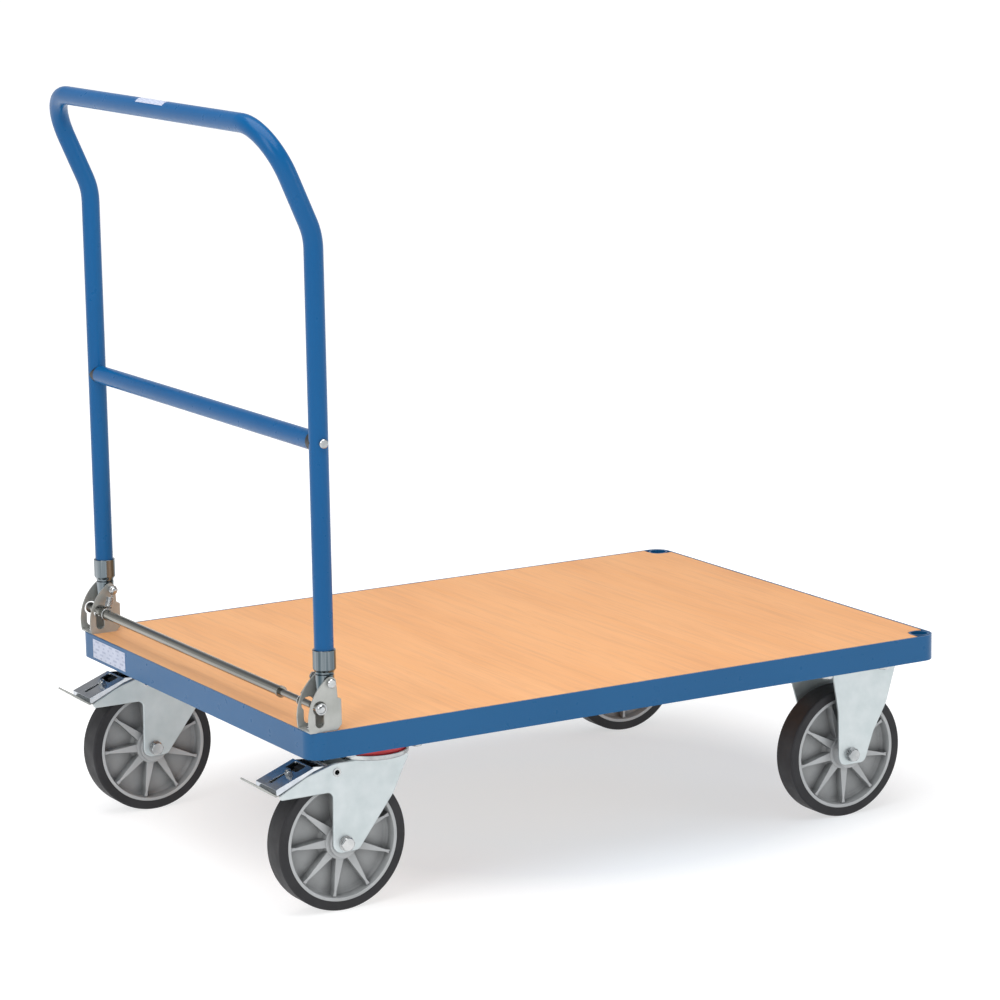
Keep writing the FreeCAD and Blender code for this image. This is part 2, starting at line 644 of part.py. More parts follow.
def handle_tube():
    """One tube: two legs that lean back near the top and a bar across between them."""
    half = from_side(1, size("bracket_inset_y"))
    leg_x = rear(size("leg_x"))
    bar_x = rear(size("top_bar_x"))
    foot = deck_top() + size("leg_start")
    kink = deck_top() + size("kink_height")
    top = deck_top() + size("top_bar_height")
    points = [Vector(leg_x, -half, foot), Vector(leg_x, -half, kink), Vector(bar_x, -half, top),
              Vector(bar_x, half, top), Vector(leg_x, half, kink), Vector(leg_x, half, foot)]
    kink_radius = size("kink_radius")
    top_radius = size("top_bend_radius")
    spine = doc.addObject("Part::Feature", "HandleSpine")
    spine.Shape = bent_wire(points, [kink_radius, top_radius, top_radius, kink_radius])
    sweeps = []
    for name, radius in (("Outside", "Sizes.tube_radius"),
                         ("Inside", "Sizes.tube_radius - Sizes.tube_wall")):
        ring = primitive("Circle", "Handle" + name, Placement(points[0], UPRIGHT), Radius=radius)
        sweep = doc.addObject("Part::Sweep", f"Handle{name}Sweep")
        sweep.Sections = [ring]
        sweep.Spine = (spine, [f"Edge{i}" for i in range(1, len(spine.Shape.Edges) + 1)])
        sweep.Solid = True
        sweep.Frenet = False
        sweep.Transition = "Right corner"
        sweeps.append(sweep)
    tube = cut("HandleTube", sweeps[0], sweeps[1])
    across = rod("HandleScrewHole", "bar_screw_radius", "Sizes.deck_width",
                 Placement(Vector(leg_x, from_side(-1, 0), cross_bar_z()), ALONG_Y))
    keep("handle_tube", cut("HandleTubeDrilled", tube, across))


def cross_bar_z():
    return deck_top() + size("cross_bar_height")


def cross_bar():
    """Tube between the legs; each end has a plastic saddle plug and a screw."""
    leg_x = rear(size("leg_x"))
    leg_y = size("bracket_inset_y")
    end_inset = leg_y + size("tube_radius") + size("cross_bar_gap")
    start = Vector(leg_x, from_side(-1, end_inset), cross_bar_z())
    length = (f"Sizes.deck_width - 2 * (Sizes.bracket_inset_y + Sizes.tube_radius"
              f" + Sizes.cross_bar_gap)")
    outer = rod("CrossBarOuter", "tube_radius", length)
    inner = rod("CrossBarInner", "Sizes.tube_radius - Sizes.tube_wall", length)
    keep("handle_cross_bar", cut("CrossBar", outer, inner), Placement(start, ALONG_Y))
    caps = []
    screws = []
    for name, side in SIDES.items():
        inward = ALONG_Y if side < 0 else AGAINST_Y
        saddle = rod(f"Saddle_{name}", "tube_radius", "tube_radius",
                     Placement(Vector(leg_x, from_side(side, leg_y), cross_bar_z()), inward))
        saddle.setExpression("Height", "Sizes.tube_radius + Sizes.cross_bar_gap")
        plug = rod(f"Plug_{name}", "Sizes.tube_radius - Sizes.tube_wall", "cap_plug_depth",
                   Placement(Vector(leg_x, from_side(side, end_inset), cross_bar_z()), inward))
        leg = rod(f"SaddleLeg_{name}", "tube_radius", "tube_radius")
        leg.setExpression("Height", "Sizes.tube_radius * 4")
        leg.Placement = Placement(Vector(leg_x, from_side(side, leg_y),
                                         cross_bar_z() - 2 * size("tube_radius")), UPRIGHT)
        drill = rod(f"PlugHole_{name}", "bar_screw_radius", "deck_width",
                    Placement(Vector(leg_x, from_side(side, 0), cross_bar_z()), inward))
        shell = cut(f"Cap_{name}", fuse(f"CapBlank_{name}", [saddle, plug]), leg)
        caps.append(cut(f"CapDrilled_{name}", shell, drill))
        head_face = leg_y - size("tube_radius")
        screws.append(round_bolt(f"BarScrew_{name}", "bar_screw_radius", "bar_screw_length",
                                 "bar_screw_head_radius", "bar_screw_head_height",
                                 Placement(Vector(leg_x, from_side(side, head_face),
                                                  cross_bar_z()), inward)))
    keep("cross_bar_end_caps", group("CrossBarCaps", caps))
    keep("cross_bar_screws", group("CrossBarScrews", screws))


def leg_socket(name, side):
    """Steel foot of one leg: ferrule for the tube, grooved neck and pivot tongue."""
    body = new_body(f"LegSocket_{name}")
    turned = sketch_on(body, "XZ_Plane")
    wall = size("ferrule_radius")
    top = size("ferrule_top")
    bottom = size("ferrule_bottom")
    neck = size("neck_radius")
    low = size("neck_bottom")
    groove = (bottom + low) / 2
    draw(turned, [(0, low, 0), (neck - 1, low, 0), (neck, low + 1, 0), (neck, groove - 1, 0),
                  (neck - 1.2, groove, 0), (neck, groove + 1, 0), (neck, bottom - 1, 0),
                  (wall, bottom + 3, 2), (wall, top, 0.8), (size("tube_radius"), top, 0),
                  (size("tube_radius"), size("leg_start") - 1, 0), (0, size("leg_start") - 1, 0)])
    revolve(body, turned)
    column = sketch_on(body, "XY_Plane", low + 2)
    draw_flatted_circle(column, neck, size("tongue_thickness") / 2)
    pad(body, column, "Sizes.neck_bottom + 2 - Sizes.tongue_bottom", backwards=True)
    offset = size("pivot_x") - size("leg_x")
    heel = size("heel_width") / 2
    shoulder = size("tongue_bottom") + 3
    stub = sketch_on(body, "XZ_Plane")
    draw(stub, [(offset - heel, shoulder, 0), (offset - heel, size("heel_bottom"), 4),
                (offset + heel, size("heel_bottom"), 4), (offset + heel, shoulder, 0)])
    pad(body, stub, "tongue_thickness", symmetric=True)
    hole = sketch_on(body, "XZ_Plane")
    draw_circle(hole, offset, size("pivot_height"), "pivot_hole_radius")
    pocket(body, hole, "tongue_thickness", symmetric=True)
    keep(f"{name}_leg_socket", body,
         Placement(Vector(rear(size("leg_x")), from_side(side, size("bracket_inset_y")),
                          deck_top()), UPRIGHT))


def handle_label():
    """Blank sticker wrapped over the back of the top bar."""
    outer = rod("LabelOuter", "Sizes.tube_radius + Sizes.handle_label_thickness",
                "handle_label_length")
    inner = rod("LabelInner", "tube_radius", "handle_label_length")
    for piece in (outer, inner):
        bind(piece, Angle="Sizes.handle_label_half_angle * 2")
    # a cylinder sector starts at its own +X and turns towards its own +Y
    start = 180 - size("handle_label_tilt") - size("handle_label_half_angle")
    turn = Rotation(Vector(0, 1, 0), -start).multiply(AGAINST_Y)
    place = Placement(Vector(rear(size("top_bar_x")),
                             size("handle_label_centre_y") + size("handle_label_length") / 2,
                             deck_top() + size("top_bar_height")), turn)
    keep("handle_label", cut("HandleLabel", outer, inner), place)


# ---------------------------------------------------------------- lock rod

def rod_point(inset, side=-1):
    return Vector(rear(size("rod_x")), from_side(side, inset), deck_top() + size("rod_height"))


def lock_rod():
    """Rod through both brackets, with a foot sleeve and washers on its ends."""
    bar = rod("LockRod", "rod_radius", "Sizes.deck_width - 2 * Sizes.rod_end_inset")
    keep("locking_rod", bar, Placement(rod_point(size("rod_end_inset")), ALONG_Y))
    length = "Sizes.deck_width - Sizes.sleeve_right_inset - Sizes.sleeve_left_inset"
    outer = rod("SleeveOuter", "sleeve_radius", length)
    collar = rod("SleeveCollar", "sleeve_collar_radius", "sleeve_collar_length")
    bore = rod("SleeveBore", "sleeve_bore_radius", length)
    sleeve = cut("RodSleeve", fuse("SleeveBlank", [outer, collar]), bore)
    keep("rod_sleeve", sleeve, Placement(rod_point(size("sleeve_right_inset")), ALONG_Y))
    washers = []
    screws = []
    for name, side in SIDES.items():
        inward = ALONG_Y if side < 0 else AGAINST_Y
        spot = Placement(rod_point(size("rod_end_inset"), side), inward)
        disc = rod(f"RodWasherDisc_{name}", "rod_washer_radius", "rod_washer_thickness")
        eye = rod(f"RodWasherEye_{name}", "rod_radius", "rod_washer_thickness")
        washer = cut(f"RodWasher_{name}", disc, eye)
        washer.Placement = spot
        washers.append(washer)
        head = rod(f"RodScrewDisc_{name}", "rod_screw_head_radius", "rod_screw_head_height")
        crown = primitive("Sphere", f"RodScrewCrown_{name}",
                          Radius="Sizes.rod_screw_head_radius * 1.2")
        crown.Placement = Placement(Vector(0, 0, 1.08 * size("rod_screw_head_radius")), UPRIGHT)
        screw = doc.addObject("Part::MultiCommon", f"RodScrew_{name}")
        screw.Shapes = [head, crown]
        screw.Placement = Placement(
            rod_point(size("rod_end_inset") - size("rod_screw_head_height"), side), inward)
        screws.append(screw)
    keep("rod_end_screws", group("RodEndScrews", washers + screws))


def lock_spring(name, side):
    """Tension spring from the pivot bolt down to the rod, with an eye at each end."""
    rod_end = Vector(size("rod_x"), 0, size("rod_height"))
    pivot_end = Vector(size("pivot_x"), 0, size("pivot_height"))
    climb = pivot_end - rod_end
    wire = size("spring_wire_radius")
    low_eye = wire + 0.3 + (size("sleeve_radius") if side > 0 else size("rod_radius"))
    high_eye = wire + 0.3 + size("pivot_radius")
    # own frame: Z runs from the rod to the pivot; the rod end lies further inwards
    low = Vector(0, -side * size("spring_lean"), 0)
    high = Vector(0, 0, climb.Length)
    axis = (high - low).normalize()
    coil_foot = low + axis * (low_eye + size("spring_low_gap"))
    coil_head = high - axis * (high_eye + size("spring_high_gap"))
    coil_radius = size("spring_coil_radius")
    helix = Part.makeHelix(size("spring_pitch"), coil_foot.distanceToPoint(coil_head), coil_radius)
    section = Part.Wire(Part.makeCircle(wire, Vector(coil_radius, 0, 0), Vector(0, 1, 0)))
    turns = Part.Wire(helix.Edges).makePipeShell([section], True, True)
    turns.Placement = Placement(coil_foot, Rotation(Vector(0, 0, 1), axis))
    pieces = [turns]
    for centre, eye, inward, coil_end in ((low, low_eye, 1, coil_foot),
                                          (high, high_eye, -1, coil_head)):
        pieces.append(Part.makeTorus(eye, wire, centre, Vector(0, 1, 0)))
        pieces.append(link(coil_end + Vector(coil_radius, 0, 0),
                           centre + Vector(0, 0, inward * eye), wire))
    spring = doc.addObject("Part::Feature", f"LockSpring_{name}")
    spring.Shape = pieces[0].multiFuse(pieces[1:])
    keep(f"{name}_lock_spring", spring,
         Placement(rod_point(size("spring_inset_y"), side), Rotation(Vector(0, 0, 1), climb)))


def link(start, end, radius):
    """Short round wire between two points, running a little past both."""
    direction = (end - start).normalize()
    return Part.makeCylinder(radius, start.distanceToPoint(end) + radius,
                             start - direction * (radius / 2), direction)


# ---------------------------------------------------------------- casters

def caster_place(axle_x, side):
    """Own frame of a caster: below its axle on the floor, in the wheel's mid-plane."""
    return Placement(Vector(rear(axle_x), from_side(side, size("caster_inset_y")), 0), UPRIGHT)


def fork_end(sheet_side):
    """Lower end of a fork leg round the axle, from its back edge to its front edge."""
    return [(sheet_side * -20, 86, 14), (sheet_side * 21, 87, 11)]


def top_plate_outline(body, length, spacing_y):
    """Rounded plate about the origin with its four bolt holes."""
    sketch = sketch_on(body, "XY_Plane")
    half_x = size(length) / 2
    half_y = size("top_plate_width") / 2
    draw_rectangle(sketch, -half_x, -half_y, half_x, half_y, size("top_plate_corner"))
    for dx in (-1, 1):
        for dy in (-1, 1):
            draw_circle(sketch, dx * size("bolt_spacing_x") / 2, dy * size(spacing_y) / 2,
                        "caster_bolt_hole_radius")
    return sketch


def swivel_plate(name, side):
    """Top plate of a swivel caster with its pressed upper race and kingpin hole."""
    body = new_body(f"SwivelPlate_{name}")
    plate = top_plate_outline(body, "top_plate_length", "bolt_spacing_y")
    draw_circle(plate, 0, 0, "kingpin_radius")
    pad(body, plate, "top_plate_thickness")
    race = sketch_on(body, "XY_Plane")
    draw_circle(race, 0, 0, "dome_radius")
    draw_circle(race, 0, 0, "kingpin_radius")
    pad(body, race, "dome_depth", backwards=True)
    fillet_edges(body, "race_sheet", lambda edge: edge.BoundBox.ZMax < -6
                 and edge.BoundBox.XLength > 2 * size("dome_radius") - 1)
    place = caster_place(size("swivel_axle_x") + size("trail"), side)
    place.Base.z = size("caster_height") - size("top_plate_thickness")
    keep(f"{name}_swivel_top_plate", body, place)


def kingpins():
    """Swivel bolts and their nuts; they stay with the top plates."""
    pins = []
    nuts = []
    nut_top = size("crown_height") - size("fork_sheet") - size("kingpin_gap")
    for name, side in SIDES.items():
        axis = caster_place(size("swivel_axle_x") + size("trail"), side).Base
        dome_bottom = (size("caster_height") - size("top_plate_thickness")
                       - size("dome_depth"))
        length = size("caster_height") - nut_top + size("kingpin_nut_height")
        pin = rod(f"Kingpin_{name}", "kingpin_radius", "kingpin_nut_height")
        pin.setExpression("Height", f"Sizes.caster_height - {nut_top} + Sizes.kingpin_nut_height")
        pin.Placement = Placement(axis + Vector(0, 0, size("caster_height") - length), UPRIGHT)
        pins.append(pin)
        nuts.append(hex_nut(f"KingpinNut_{name}", "kingpin_nut_across", "kingpin_nut_height",
                            "kingpin_radius",
                            Placement(axis + Vector(0, 0, nut_top), Rotation(Vector(1, 0, 0), 180))))
        assert nut_top < dome_bottom
    keep("kingpins", group("Kingpins", pins + nuts))


def swivel_fork(name, side):
    """Pressed fork: crown, two legs set back by the trail, and two brake arms."""
    body = new_body(f"SwivelFork_{name}")
    crown = size("crown_height")
    axis = size("trail")
    shape = sketch_on(body, "XZ_Plane")
    draw(shape, [(axis + 50, crown, 6), (-16, crown, 40), (-60, 205, 60), (-104, 183, 4),
                 (-98, 176, 4), (-18, 176, 9)] + fork_end(1) + [(78, 161, 40), (95, 196, 20)])
    pad(body, shape, "fork_outer", symmetric=True)
    inside = sketch_on(body, "XZ_Plane")
    draw(inside, [(-130, 70, 0), (120, 70, 0), (120, crown - size("fork_sheet"), 0),
                  (axis - 48, crown - size("fork_sheet"), 0), (axis - 48, crown + 5, 0),
                  (-130, crown + 5, 0)])
    pocket(body, inside, "fork_inner", symmetric=True)
    holes = sketch_on(body, "XZ_Plane")
    draw_circle(holes, 0, size("wheel_radius"), "axle_hole_radius")
    draw_circle(holes, size("brake_pivot_x"), size("brake_pivot_height"), "eyelet_radius")
    pocket(body, holes, "fork_outer", symmetric=True)
    kingpin_hole = sketch_on(body, "XY_Plane", crown)
    draw_circle(kingpin_hole, axis, 0, "kingpin_hole_radius")
    pocket(body, kingpin_hole, "Sizes.fork_sheet + 1")
    half = size("fork_outer") / 2
    fillet_edges(body, "race_sheet", lambda edge: edge.BoundBox.ZMin > crown - 0.1
                 and abs(abs(edge.BoundBox.YMin) - half) < 0.1 and edge.BoundBox.YLength < 0.1
                 and edge.BoundBox.XLength > 40)
    keep(f"{name}_swivel_fork", body, caster_place(size("swivel_axle_x"), side))


def race_ring(name, side):
    """Dished lower race that stands on the fork crown round the kingpin."""
    body = new_body(f"RaceRing_{name}")
    dish = sketch_on(body, "XY_Plane")
    bore = size("race_bore_radius")
    lip = size("race_radius")
    top = size("race_height")
    gauge = size("race_sheet")
    draw(dish, [(bore, 0, 0), (lip - 1.5, 0, 1), (lip, 2, 1), (lip, top, 0.8),
                (lip - gauge, top, 0), (lip - gauge - 1, gauge, 0), (bore, gauge, 0)])
    revolve(body, dish)
    place = caster_place(size("swivel_axle_x") + size("trail"), side)
    place.Base.z = size("crown_height")
    place.Rotation = Rotation(Vector(1, 0, 0), 90)
    keep(f"{name}_race_ring", body, place)


def seal_ring(name, side):
    """Plastic dust seal that closes the gap above the dished race."""
    base = caster_place(size("swivel_axle_x") + size("trail"), side).Base
    outer = rod(f"SealOuter_{name}", "seal_radius", "seal_height")
    inner = rod(f"SealInner_{name}", "seal_bore_radius", "seal_height")
    height = size("crown_height") + size("race_sheet")
    ring = cut(f"Seal_{name}", outer, inner)
    keep(f"{name}_dust_seal", ring, Placement(base + Vector(0, 0, height), UPRIGHT))


def eyelet(name, side):
    """Hollow rivet across the fork: the pivot of the brake pedal."""
    half = size("fork_outer") / 2
    lip = size("eyelet_lip")
    start = caster_place(size("swivel_axle_x"), side).Base + Vector(
        size("brake_pivot_x"), -half - lip, size("brake_pivot_height"))
    tube = rod(f"EyeletTube_{name}", "eyelet_radius", "Sizes.fork_outer + 2 * Sizes.eyelet_lip")
    near = rod(f"EyeletNear_{name}", "eyelet_lip_radius", "eyelet_lip")
    far = rod(f"EyeletFar_{name}", "eyelet_lip_radius", "eyelet_lip",
              Placement(Vector(0, 0, size("fork_outer") + lip), UPRIGHT))
    bore = rod(f"EyeletBore_{name}", "eyelet_bore_radius",
               "Sizes.fork_outer + 2 * Sizes.eyelet_lip")
    rivet = cut(f"Eyelet_{name}", fuse(f"EyeletBlank_{name}", [tube, near, far]), bore)
    keep(f"{name}_brake_pivot", rivet, Placement(start, ALONG_Y))


def axle(name, axle_x, side, fork_width):
    """Axle bolt with its head on the right of the fork; returns bolt, washer and nut."""
    base = caster_place(axle_x, side).Base + Vector(0, 0, size("wheel_radius"))
    half = size(fork_width) / 2
    thickness = size("axle_washer_thickness")
    bolt = hex_bolt(f"Axle_{name}", "axle_radius",
                    f"Sizes.{fork_width} + Sizes.axle_washer_thickness"
                    " + Sizes.axle_nut_height + Sizes.axle_spare",
                    "axle_head_across", "axle_head_height",
                    Placement(base - Vector(0, half + thickness, 0), ALONG_Y))
    washer = cut(f"AxleWasher_{name}",
                 rod(f"AxleWasherDisc_{name}", "axle_washer_radius", "axle_washer_thickness"),
                 rod(f"AxleWasherHole_{name}", "axle_radius", "axle_washer_thickness"))
    washer.Placement = Placement(base - Vector(0, half + thickness, 0), ALONG_Y)
    nut = hex_nut(f"AxleNut_{name}", "axle_head_across", "axle_nut_height", "axle_radius",
                  Placement(base + Vector(0, half, 0), ALONG_Y))
    return bolt, washer, nut


def fixed_fork(name, side):
    """Fixed caster bracket: a top plate and two legs that flare opposite ways."""
    body = new_body(f"FixedFork_{name}")
    top = size("caster_height") - size("top_plate_thickness")
    outer = size("fixed_fork_outer") / 2
    inner = size("fixed_fork_inner") / 2
    straight_edge = [(-33, top, 0), (-33, 222, 30), (-24, 168, 60), (-23, 100, 20)]
    # each leg is drawn in the XZ plane; that plane's normal points to -Y
    for sign, offset, waist, head in ((1, inner, 64, 83), (-1, -outer, 51, 70)):
        leg = sketch_on(body, "XZ_Plane", offset)
        corners = straight_edge + [(-20, 85, 12), (24, 85, 11), (40, 130, 30),
                                   (waist, 172, 60), (head, top, 0)]
        draw(leg, [(sign * x, z, r) for x, z, r in corners][::sign])
        draw_circle(leg, 0, size("wheel_radius"), "axle_hole_radius")
        pad(body, leg, "fork_sheet")
    plate = top_plate_outline(body, "fixed_plate_length", "fixed_bolt_spacing_y")
    plate.AttachmentOffset = Placement(Vector(0, 0, top), Rotation())
    pad(body, plate, "top_plate_thickness")
    keep(f"{name}_fixed_fork", body, caster_place(size("fixed_axle_x"), side))


def fixed_axles():
    pieces = []
    for name, side in SIDES.items():
        pieces.extend(axle(f"fixed_{name}", size("fixed_axle_x"), side, "fixed_fork_outer"))
    keep("fixed_axles", group("FixedAxles", pieces))


def caster_bolts():
    """Bolts that hold the four top plates to the frame, with nuts above the flange."""
    bolts = []
    nuts = []
    plate_bottom = size("caster_height") - size("top_plate_thickness")
    nut_level = size("caster_height") + size("rim_wall")
    for side in SIDES.values():
        for x, inset in caster_bolt_points():
            spot = Vector(rear(x), from_side(side, inset), 0)
            bolts.append(hex_bolt(f"CasterBolt{len(bolts)}", "caster_bolt_radius",
                                  "caster_bolt_length", "caster_bolt_head_across",
                                  "caster_bolt_head_height",
                                  Placement(spot + Vector(0, 0, plate_bottom), UPRIGHT)))
            nuts.append(hex_nut(f"CasterNut{len(nuts)}", "caster_bolt_head_across",
                                "caster_nut_height", "caster_bolt_radius",
                                Placement(spot + Vector(0, 0, nut_level), UPRIGHT)))
    keep("caster_bolts", group("CasterBolts", bolts + nuts))


# ---------------------------------------------------------------- brake

def pedal_slope():
    """Unit vector up the pedal's top sheet, from its front lip to its rear edge."""
    run = Vector(size("pedal_rear_x") - size("pedal_lip_x"),
                 size("pedal_rear_height") - size("pedal_lip_height"), 0)
    return run.normalize()


def pedal_level(x):
    """Height of the pedal's top sheet at a distance x in front of the axle."""
    slope = pedal_slope().y / pedal_slope().x
    return size("pedal_lip_height") + (x - size("pedal_lip_x")) * slope


def hollow_under_sheet(body, end_x, width):
    """Cut away what lies under the pedal's top sheet, from its lip back to end_x."""
    front_x = size("pedal_lip_x") + size("pedal_sheet")
    rear_x = size("pedal_rear_x")
    floor = size("pedal_lip_height") - 25
    drop = size("pedal_sheet") / pedal_slope().x
    inside = sketch_on(body, "XZ_Plane")
    corners = [(front_x, floor, 0), (front_x, pedal_level(front_x) - drop, 0),
               (rear_x, pedal_level(rear_x) - drop, 0), (rear_x, pedal_level(rear_x) + 12, 0),
               (end_x, pedal_level(rear_x) + 12, 0), (end_x, floor, 0)]
    draw(inside, corners)
    pocket(body, inside, width, symmetric=True)


def brake_pedal(name, side):
    """Pedal: a cap over the fork arms and a channel between them that holds the pivot."""
    body = new_body(f"BrakePedal_{name}")
    lip_x = size("pedal_lip_x")
    lip_z = size("pedal_lip_height")
    rear_x = size("pedal_rear_x")
    rear_z = size("pedal_rear_height")
    pivot_x = size("brake_pivot_x")
    pivot_z = size("brake_pivot_height")
    cap = sketch_on(body, "XZ_Plane")
    draw(cap, [(lip_x, lip_z, 1.5), (rear_x, rear_z, 0), (rear_x, rear_z - 5, 0),
               (lip_x + 1, lip_z - 9, 2)])
    pad(body, cap, "cap_width", symmetric=True)
    hollow_under_sheet(body, rear_x + 5, "cap_inner")
    channel = sketch_on(body, "XZ_Plane")
    draw(channel, [(lip_x, lip_z, 1.5), (rear_x, rear_z, 25), (pivot_x + 7, pivot_z + 8, 6),
                   (pivot_x + 7, pivot_z - 7, 6), (rear_x, rear_z - 13, 25),
                   (lip_x + 2, lip_z - 8, 2)])
    pad(body, channel, "pedal_width", symmetric=True)
    hollow_under_sheet(body, 20, "pedal_inner")
    tab = sketch_on(body, "XY_Plane", pedal_level(lip_x + 38) - 1)
    draw_rectangle(tab, lip_x + 37, 0, lip_x + 39, 9)
    pad(body, tab, "pedal_tab_height")
    hole = sketch_on(body, "XZ_Plane")
    draw_circle(hole, pivot_x, pivot_z, "pedal_hole_radius")
    pocket(body, hole, "pedal_width", symmetric=True)
    windows = sketch_on(body, "XY_Plane", rear_z + 5)
    draw(windows, [(lip_x + 7, -3, 1), (lip_x + 35, 0.5, 0.5), (lip_x + 35, 3.5, 0.5),
                   (lip_x + 7, 7, 1)])
    draw_rectangle(windows, lip_x + 40, -14, rear_x - 2, 20, 3)
    pocket(body, windows, "Sizes.pedal_rear_height - Sizes.pedal_lip_height + 10")
    keep(f"{name}_brake_pedal", body, caster_place(size("swivel_axle_x"), side))


def brake_tread(name, side):
    """Foot plate under the pedal that turns up again in front of its lip."""
    body = new_body(f"BrakeTread_{name}")
    gauge = size("tread_sheet")
    bend = Vector(size("pedal_lip_x") + 3, size("pedal_lip_height") - 9.5, 0)
    tip = Vector(size("tread_tip_x"), size("tread_tip_height"), 0)
    tail = Vector(size("pedal_rear_x") - 12, 195, 0)
    front = sketch_on(body, "XZ_Plane")
    draw(front, [(tip.x, tip.y, 1), (bend.x, bend.y, 0), (bend.x, bend.y - gauge, 0),
                 (tip.x - 0.8, tip.y - gauge, 1)])
    pad(body, front, "pedal_width", symmetric=True)
    back = sketch_on(body, "XZ_Plane")
    draw(back, [(bend.x, bend.y, 0), (tail.x, tail.y, 0), (tail.x, tail.y - gauge, 0),
                (bend.x, bend.y - gauge, 0)])
    pad(body, back, "tread_inner_width", symmetric=True)
    keep(f"{name}_brake_tread", body, caster_place(size("swivel_axle_x"), side))


def brake_shoe(name, side):
    """Rubber block under the pedal that is pressed onto the tyre."""
    body = new_body(f"BrakeShoe_{name}")
    shape = sketch_on(body, "XZ_Plane")
    top_z = size("pedal_rear_height") - size("pedal_sheet") - 3.6
    draw(shape, [(-56, top_z - 1.6, 0), (-50, top_z, 0), (-40, top_z, 2), (-38, 196.5, 2),
                 (-53, 189.8, 2)])
    pad(body, shape, "shoe_width", symmetric=True)
    keep(f"{name}_brake_shoe", body, caster_place(size("swivel_axle_x"), side))


def brake_screw(name, side):
    """Adjusting screw of the brake, upright in the pedal, with its lock nut."""
    spot = Vector(size("pedal_rear_x") - 26, -6, 0)
    level = pedal_level(spot.x)
    tilt = Rotation(Vector(0, 0, 1), Vector(-pedal_slope().y, 0, pedal_slope().x))
    base = caster_place(size("swivel_axle_x"), side).Base + spot
    nut = hex_nut(f"BrakeNut_{name}", "brake_nut_across", "brake_nut_height",
                  "brake_screw_radius",
                  Placement(base + Vector(0, 0, level + 0.2), tilt))
    shank = rod(f"BrakeScrew_{name}", "brake_screw_radius", "Sizes.brake_nut_height + 3",
                Placement(base + Vector(0, 0, level + 0.2), tilt))
    keep(f"{name}_brake_screw", group(f"BrakeScrewSet_{name}", [shank, nut]))


# ---------------------------------------------------------------- wheels

def wheel_centre(label, place, hub_half):
    """Moulded wheel centre: rim bed, thin web, hub and tapering spokes."""
    body = new_body("WheelCentre_" + label)
    half = size("tyre_half_width")
    web = size("web_half")
    hub = size(hub_half)
    ring = size("rim_ring_inner")
    bed = size("rim_bed_inner")
    bore = size("hub_bore_radius")
    collar = size("hub_collar_radius")
    flank = size("hub_radius")
    section = [(bore, 0, 0), (bore, hub, 0), (flank, hub, 1.5), (flank, half - 1, 0),
               (collar, half - 2, 1), (collar + 1.5, web + 4, 3), (collar + 6, web, 4),
               (bed - 4, web, 4), (bed, web + 4, 3), (ring, half, 0.8),
               (size("rim_ring_radius"), half, 0.5)]
    mirrored = [(r, -w, radius) for r, w, radius in section[::-1]]
    turned = sketch_on(body, "XY_Plane")
    draw(turned, section[1:] + mirrored[:-1])
    revolve(body, turned)
    spoke = sketch_on(body, "XZ_Plane")
    root = size("spoke_root_half")
    tip = size("spoke_tip_half")
    draw(spoke, [(flank, -root, 0), (bed - 6, -tip, 0), (bed + 1, -tip - 1.2, 0),
                 (bed + 1, tip + 1.2, 0), (bed - 6, tip, 0), (flank, root, 0)])
    rib = pad(body, spoke, "Sizes.spoke_half_width * 2", symmetric=True)
    spokes = body.newObject("PartDesign::PolarPattern", "Spokes")
    spokes.Originals = [rib]
    axis = next(f for f in body.Origin.OriginFeatures if f.Role == "Y_Axis")
    spokes.Axis = (axis, [""])
    spokes.Angle = 360
    spokes.Occurrences = int(size("spoke_count"))
    body.Tip = spokes
    keep(label + "_wheel_centre", body, place)


def tyre(label, place):
    """Solid rubber tyre with rounded shoulders."""
    body = new_body("Tyre_" + label)
    half = size("tyre_half_width")
    outer = size("wheel_radius")
    bore = size("tyre_bore_radius")
    shoulder = size("tyre_shoulder")
    section = sketch_on(body, "XY_Plane")
    draw(section, [(bore, -half, 0), (outer, -half, shoulder), (outer, half, shoulder),
                   (bore, half, 0)])
    revolve(body, section)
    keep(label + "_tyre", body, place)


def wheel_bush(label, place, bush_half):
    """Plain bearing bush in the hub, running on the axle bolt."""
    outer = rod("BushOuter_" + label, "bush_radius", f"Sizes.{bush_half} * 2")
    bore = rod("BushBore_" + label, "axle_hole_radius", f"Sizes.{bush_half} * 2")
    bush = cut("Bush_" + label, outer, bore)
    start = place.Base - Vector(0, size(bush_half), 0)
    keep(label + "_wheel_bush", bush, Placement(start, ALONG_Y))


def wheel(label, axle_x, side, first_spoke, kind):
    """One complete wheel; first_spoke turns the centre about the axle, in degrees."""
    base = caster_place(axle_x, side).Base + Vector(0, 0, size("wheel_radius"))
    turned = Placement(base, Rotation(Vector(0, 1, 0), -first_spoke))
    wheel_centre(label, turned, kind + "hub_half_width")
    tyre(label, Placement(base, UPRIGHT))
    wheel_bush(label, Placement(base, UPRIGHT), kind + "bush_half_width")


# ---------------------------------------------------------------- whole trolley

